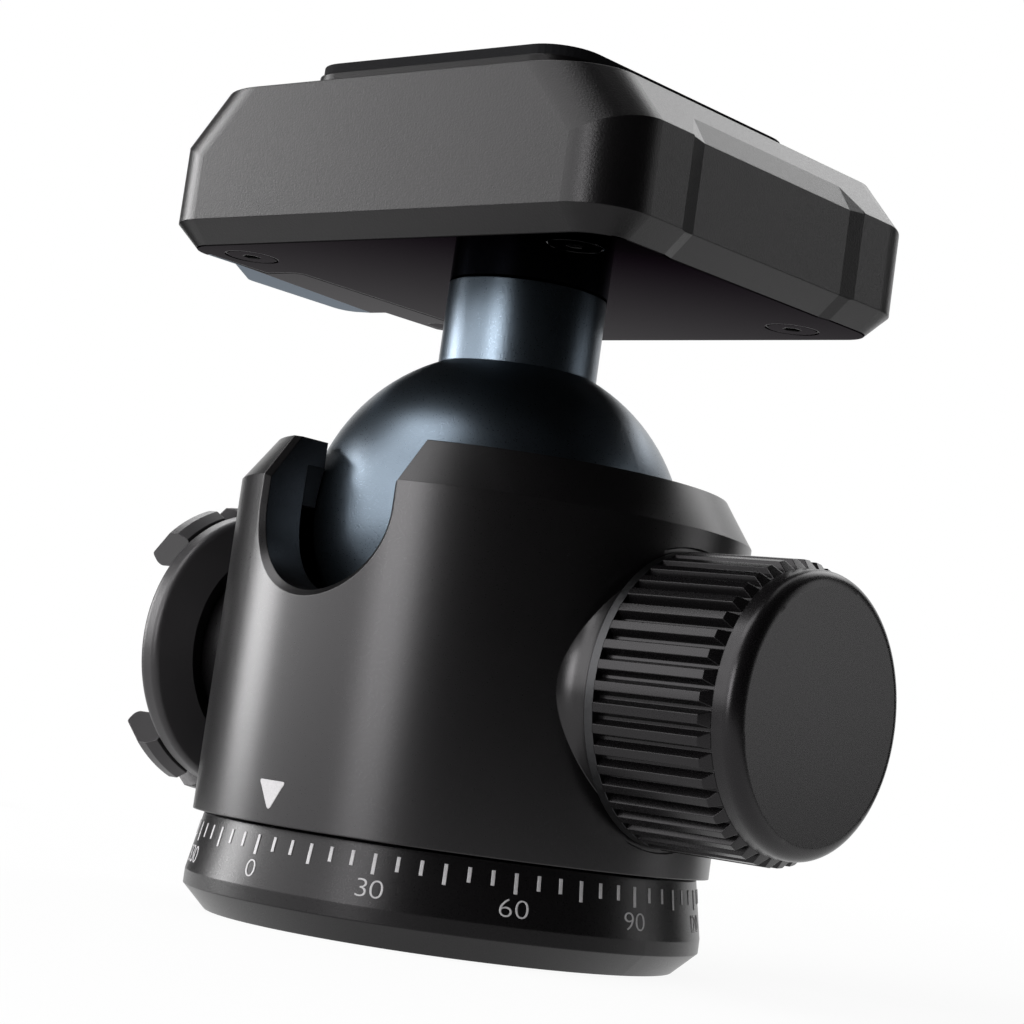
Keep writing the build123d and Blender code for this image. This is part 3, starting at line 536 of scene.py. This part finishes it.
def digit_model(character):
    """One digit in paint, standing upright and facing -Y."""
    deselect()
    bpy.ops.object.text_add(align="WORLD")
    digit = bpy.context.object
    digit.data.body = character
    digit.data.size = 1.0
    digit.data.offset = number_thin
    digit.data.extrude = 0.5
    digit.data.resolution_u = 6
    digit.data.align_x = "CENTER"
    bpy.ops.object.convert(target="MESH")
    digit = bpy.context.object
    low = [min(v.co[i] for v in digit.data.vertices) for i in range(3)]
    high = [max(v.co[i] for v in digit.data.vertices) for i in range(3)]
    size = number_h / (high[1] - low[1])
    middle = Vector([(a + b) / 2 for a, b in zip(low, high)])
    digit.scale = (size * number_wide, size, mark_t)
    digit.location = (-middle.x * size * number_wide, -middle.y * size, 0)
    settle(digit, "digit_" + character)
    digit.rotation_euler = (radians(90), 0, 0)
    settle(digit, "digit_" + character)
    close_up(digit)
    return digit


def dial_numbers():
    digits = []
    models = {}
    for number in range(0, 360, number_step):
        text = str(number)
        for character in text:
            if character not in models:
                models[character] = digit_model(character)
        widths = [models[c].dimensions.x for c in text]
        reach = -(sum(widths) + number_gap * (len(text) - 1)) / 2
        for character, width in zip(text, widths):
            digit = twin(models[character])
            on_dial(digit, radians(number) + (reach + width / 2) / dial_r, number_z)
            digits.append(digit)
            reach += width + number_gap
    for model in models.values():
        discard(model)
    return merge("dial_numbers", digits)


def index_mark():
    """The triangle above the dial: a patch of the housing's round wall, cut to shape."""
    wall_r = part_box("housing")[1].y
    half = wall_r * index_half
    deselect()
    bpy.ops.mesh.primitive_cylinder_add(
        vertices=index_sides, radius=wall_r + mark_proud, depth=index_h,
        location=(0, 0, index_z - index_h / 2), end_fill_type="NOTHING")
    mark = settle(bpy.context.object, "index_mark")
    edit(mark)
    bpy.ops.mesh.select_all(action="SELECT")
    bpy.ops.mesh.bisect(plane_co=(0, -wall_r / 2, 0), plane_no=(0, 1, 0), clear_outer=True)
    for side in (1, -1):
        bpy.ops.mesh.select_all(action="SELECT")
        bpy.ops.mesh.bisect(
            plane_co=(0, 0, index_z - index_h),
            plane_no=Vector((side * index_h, 0, -half)).normalized(), clear_outer=True)
    bpy.ops.mesh.select_all(action="SELECT")
    bpy.ops.mesh.remove_doubles(threshold=touching)
    foot_z = index_z - 0.99 * index_h
    choose(mark, "VERT", lambda v: abs(v.co.x) > 0.97 * half or v.co.z < foot_z)
    bpy.ops.mesh.bevel(offset=index_round, segments=5, affect="VERTICES")
    choose(mark, "FACE", lambda f: f.normal.y > 0)
    bpy.ops.mesh.flip_normals()
    done()
    apply_modifier(mark, "SOLIDIFY", thickness=mark_t, offset=-1)
    close_up(mark)
    return mark


hand_over(dial_ticks(), mark_paint.material, "base", "black_anodised")
hand_over(dial_numbers(), mark_paint.material, "base", "black_anodised")
hand_over(index_mark(), mark_paint.material, "housing", "black_anodised")


# -------------------------------------------------- screws under the clamp
def case_screw():
    """Countersunk screw with a socket, head down, at the origin."""
    deselect()
    bpy.ops.mesh.primitive_cone_add(
        vertices=48, radius1=case_head_r, radius2=case_shank_r, depth=case_head_t,
        location=(0, 0, case_head_t / 2))
    screw = settle(bpy.context.object, "case_screw")
    edit(screw)
    choose(screw, "FACE", lambda f: f.normal.z < -0.9)
    bpy.ops.mesh.bevel(offset=case_edge, segments=1)
    done()
    bpy.ops.mesh.primitive_cylinder_add(vertices=6, radius=case_socket, depth=2 * case_socket_d)
    socket = bpy.context.object
    apply_modifier(screw, "BOOLEAN", object=socket, operation="DIFFERENCE")
    discard(socket)
    smooth(screw, 10)
    return screw


screw_model = case_screw()
clamp_low_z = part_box("clamp_body")[0].z
for count, (x, y) in enumerate(case_screw_at, 1):
    screw = twin(screw_model)
    screw.location = (x * mm, y * mm, clamp_low_z + case_screw_in)
    settle(screw, f"case_screw_{count}")
    hand_over(screw, clamp_black.material, "clamp", "black_steel")
discard(screw_model)


# ------------------------------------------------------------- camera screw
def round_bar(name, radius, low_z, high_z, sides=64):
    """A plain round bar on the main axis."""
    deselect()
    bpy.ops.mesh.primitive_cylinder_add(
        vertices=sides, radius=radius, depth=high_z - low_z, location=(0, 0, (low_z + high_z) / 2))
    return settle(bpy.context.object, name)


def break_edges(piece, width, test, segments=2):
    edit(piece)
    choose(piece, "EDGE", test)
    bpy.ops.mesh.bevel(offset=width, segments=segments)
    done()


def thread_ridge(low_z, high_z):
    """One ridge of the thread, wound round the core and cut off flat at both ends."""
    inner = cam_root_r - cam_ridge_in
    start_z = low_z - cam_pitch / 2
    deselect()
    bpy.ops.mesh.primitive_plane_add(size=1, location=((inner + cam_crest_r) / 2, 0, start_z))
    ridge = bpy.context.object
    ridge.scale = (cam_crest_r - inner, cam_pitch * cam_ridge, 1)
    ridge.rotation_euler = (radians(90), 0, 0)
    settle(ridge, "thread_ridge")
    edit(ridge)
    choose(ridge, "VERT", lambda v: v.co.x > cam_root_r)
    bpy.ops.transform.resize(
        value=(1, 1, cam_crest_flat / cam_pitch), center_override=(cam_crest_r, 0, start_z))
    bpy.ops.mesh.select_all(action="SELECT")
    bpy.ops.mesh.delete(type="ONLY_FACE")
    done()
    turns = int((high_z - low_z) / cam_pitch) + 2
    apply_modifier(
        ridge, "SCREW", angle=2 * pi, screw_offset=cam_pitch, iterations=turns, steps=40,
        render_steps=40, axis="Z")
    edit(ridge)
    bpy.ops.mesh.select_all(action="SELECT")
    bpy.ops.mesh.remove_doubles(threshold=touching)
    bpy.ops.mesh.fill_holes(sides=4)
    bpy.ops.mesh.select_all(action="SELECT")
    bpy.ops.mesh.normals_make_consistent(inside=False)
    done()
    reach = round_bar("reach", 2 * cam_crest_r, low_z, high_z)
    apply_modifier(ridge, "BOOLEAN", object=reach, operation="INTERSECT")
    discard(reach)
    return ridge


def threaded_screw():
    """Camera screw: slotted head under the plate, plain neck, and the thread above the pad."""
    low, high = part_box("camera_screw")
    pad_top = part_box("rubber_pad")[1].z
    head = round_bar("head", cam_head_r, low.z, low.z + cam_head_t)
    break_edges(head, cam_head_edge, lambda e: abs(e.verts[0].co.z - e.verts[1].co.z) < touching)
    deselect()
    bpy.ops.mesh.primitive_cube_add(size=1, location=(0, 0, low.z))
    slot = bpy.context.object
    slot.scale = (3 * cam_head_r, cam_slot_w, 2 * cam_slot_d)
    apply_modifier(head, "BOOLEAN", object=slot, operation="DIFFERENCE")
    discard(slot)
    neck = round_bar("neck", cam_neck_r, low.z + cam_head_t / 2, pad_top + cam_pitch)
    core = round_bar("core", cam_root_r, pad_top, high.z)
    break_edges(core, cam_point, lambda e: min(v.co.z for v in e.verts) > high.z - touching)
    ridge = thread_ridge(pad_top + cam_run_in, high.z - cam_run_out)
    screw = merge("threaded_screw", [core, head, neck, ridge])
    smooth(screw)
    return screw


hand_over(threaded_screw(), plated.material, "camera_screw", "plated_steel", "camera_screw")


# ---------------------------------------------------------------- ribbed pad
def ribbed_pad():
    """Rubber pad with a plain border and grooves along it."""
    low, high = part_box("rubber_pad")
    centre = (low + high) / 2
    deselect()
    bpy.ops.mesh.primitive_cube_add(size=1, location=centre)
    pad = bpy.context.object
    pad.scale = high - low
    settle(pad, "ribbed_pad")
    break_edges(
        pad, pad_corner, lambda e: abs(e.verts[0].co.z - e.verts[1].co.z) > 0.5 * (high.z - low.z),
        segments=10)
    edit(pad)
    border_y = high.y - rib_border
    for side in (1, -1):
        bpy.ops.mesh.select_all(action="SELECT")
        bpy.ops.mesh.bisect(plane_co=(0, side * border_y, 0), plane_no=(0, 1, 0))
    for count in range(-rib_count, rib_count + 1):
        for side in (1, -1):
            bpy.ops.mesh.select_all(action="SELECT")
            bpy.ops.mesh.bisect(
                plane_co=(count * rib_pitch + side * rib_groove / 2, 0, 0), plane_no=(1, 0, 0))

    def groove_floor(face):
        middle = face.calc_center_median()
        count = round(middle.x / rib_pitch)
        return (face.normal.z > 0.9 and abs(middle.y) < border_y and abs(count) <= rib_count
                and abs(middle.x - count * rib_pitch) < 0.1 * rib_groove)

    choose(pad, "FACE", groove_floor)
    bpy.ops.mesh.extrude_region_move(TRANSFORM_OT_translate={"value": (0, 0, -rib_d)})
    done()
    hole = round_bar("hole", pad_hole_r, low.z - 1 * mm, high.z + 1 * mm)
    apply_modifier(pad, "BOOLEAN", object=hole, operation="DIFFERENCE")
    discard(hole)
    return pad


hand_over(ribbed_pad(), pad_rubber.material, "clamp", "black_rubber", "rubber_pad")

# -------------------------------------------------------------------- studio
white = (1, 1, 1, 1)
floor_r = 6.0
floor_tone = 0.90
floor_lit = 0.93            # share of the floor that is plain white, near the object
floor_fade = (0.08, 0.30)   # metres from the object; from there on all of it is
fill = 0.25                 # strength of the world's own light
cloth_inner = 0.16          # the dark cloth's edge round the object
cloth_r = 1.1
cloth_h = 1.6
cloth_lift = 1 * mm         # off the floor
cloth_tone = 0.01
cloth_turn = -10            # degrees from the camera to its right, the cloth's middle
cloth_half = radians(147)   # how far it goes to either side of that
middle = Vector((0, 0, 0.045))  # of the object, where the lamps point
lamp_away = 0.8
# name, degrees to the camera's right, degrees up, width, height, watts
lamps = [
    ("left strip", -109, 6, 0.28, 0.50, 5.4),
    ("left high softbox", -74, 22, 0.60, 0.85, 5.2),
    ("front strip", -40, 10, 0.26, 0.40, 3.3),
    ("right strip", 98, 14, 0.25, 0.60, 0.75),
    ("back softbox", 142, 42, 0.40, 0.40, 0.9),
    ("back left softbox", -160, 42, 0.35, 0.35, 1.3),
    ("left top softbox", -78, 58, 0.45, 0.30, 1.8),
]

# the camera: where it stands, the way it looks, its roll and its lens
camera_at = Vector((161.58, -182.25, 17.31)) * mm
look_side = radians(-41.24)     # from +Y, towards +X
look_up = radians(5.46)
roll = radians(8.0)
lens = 90.56
film = 36


def studio_floor():
    deselect()
    bpy.ops.mesh.primitive_circle_add(vertices=96, radius=floor_r, fill_type="NGON")
    floor = settle(bpy.context.object, "floor")
    look = Finish("pale floor")
    look.tree.nodes.remove(look.shader)
    paper = look.add("BsdfDiffuse", Color=(floor_tone, floor_tone, floor_tone, 1))
    lit = look.add("Emission", Color=white, Strength=1.0)
    away = look.add("VectorMath", operation="LENGTH")
    look.join(look.place, "Object", away, 0)
    far = look.add("MapRange", interpolation_type="SMOOTHSTEP")
    far.inputs["From Min"].default_value, far.inputs["From Max"].default_value = floor_fade
    far.inputs["To Min"].default_value = floor_lit
    look.join(away, "Value", far, "Value")
    share = look.reckon("MULTIPLY", look.plainly_seen(), (far, "Result"))
    look.mix(share, paper, lit, look.out)
    floor.data.materials.append(look.material)
    return floor


def round_object(azimuth, elevation, distance):
    """Place seen from the object's middle; azimuth from the camera's side, to its right."""
    around = radians(azimuth) - look_side
    flat = Vector((sin(around), -cos(around), 0))
    rise = radians(elevation)
    return middle + distance * (cos(rise) * flat + sin(rise) * Vector((0, 0, 1)))


def softbox(name, azimuth, elevation, width, height, power):
    """A rectangular soft lamp, pointed at the object's middle; metres and watts."""
    place = round_object(azimuth, elevation, lamp_away)
    deselect()
    bpy.ops.object.light_add(type="AREA", location=place)
    lamp = bpy.context.object
    lamp.name = name
    lamp.data.shape = "RECTANGLE"
    lamp.data.size = width
    lamp.data.size_y = height
    lamp.data.energy = power
    lamp.rotation_euler = (middle - place).to_track_quat("-Z", "Y").to_euler()
    return lamp


def dark_backdrop():
    """A dark cloth for the black metal to mirror: on the floor, up behind the lamps and over them.

    It is left open behind the object, and the camera never sees it."""
    deselect()
    bpy.ops.mesh.primitive_circle_add(vertices=144, radius=cloth_inner, location=(0, 0, cloth_lift))
    cloth = settle(bpy.context.object, "dark_backdrop")
    edit(cloth)
    choose(cloth, "EDGE", lambda e: True)
    bpy.ops.mesh.extrude_region_move()
    wider = cloth_r / cloth_inner
    bpy.ops.transform.resize(value=(wider, wider, 1), center_override=(0, 0, 0))
    bpy.ops.mesh.extrude_region_move(TRANSFORM_OT_translate={"value": (0, 0, cloth_h)})
    bpy.ops.mesh.extrude_region_move()
    bpy.ops.transform.resize(value=(1 / wider, 1 / wider, 1), center_override=(0, 0, cloth_h))
    facing = (round_object(cloth_turn, 0, 1.0) - middle).normalized()
    choose(cloth, "FACE", lambda f: (
        f.calc_center_median().xy.normalized().dot(facing.xy) < cos(cloth_half)))
    bpy.ops.mesh.delete(type="FACE")
    done()
    look = Finish("dark cloth")
    look.tree.nodes.remove(look.shader)
    weave = look.add("BsdfDiffuse", Color=(cloth_tone, cloth_tone, cloth_tone, 1))
    look.join(weave, "BSDF", look.out, "Surface")
    cloth.data.materials.append(look.material)
    cloth.visible_camera = False
    cloth.visible_shadow = False
    return cloth


studio_floor()

ahead = Vector((sin(look_side) * cos(look_up), cos(look_side) * cos(look_up), sin(look_up)))
level_right = Vector((cos(look_side), -sin(look_side), 0))
level_up = level_right.cross(ahead)
right = cos(roll) * level_right + sin(roll) * level_up
up = -sin(roll) * level_right + cos(roll) * level_up
deselect()
bpy.ops.object.camera_add()
camera = bpy.context.object
camera.matrix_world = Matrix((
    (right.x, up.x, -ahead.x, camera_at.x), (right.y, up.y, -ahead.y, camera_at.y),
    (right.z, up.z, -ahead.z, camera_at.z), (0, 0, 0, 1)))
camera.data.lens = lens
camera.data.sensor_width = film
camera.data.clip_start = 0.01
bpy.context.scene.camera = camera

dark_backdrop()
for lamp in lamps:
    softbox(*lamp)

world = bpy.data.worlds.new("studio")
world.use_nodes = True
bpy.context.scene.world = world
sky = Nodes(world.node_tree)
sky_fill = sky.add("Background", Color=white, Strength=fill)
sky_white = sky.add("Background", Color=white, Strength=1.0)
sky.mix(sky.plainly_seen(), sky_fill, sky_white, sky.add("OutputWorld"))

bpy.context.scene.view_settings.view_transform = "Standard"
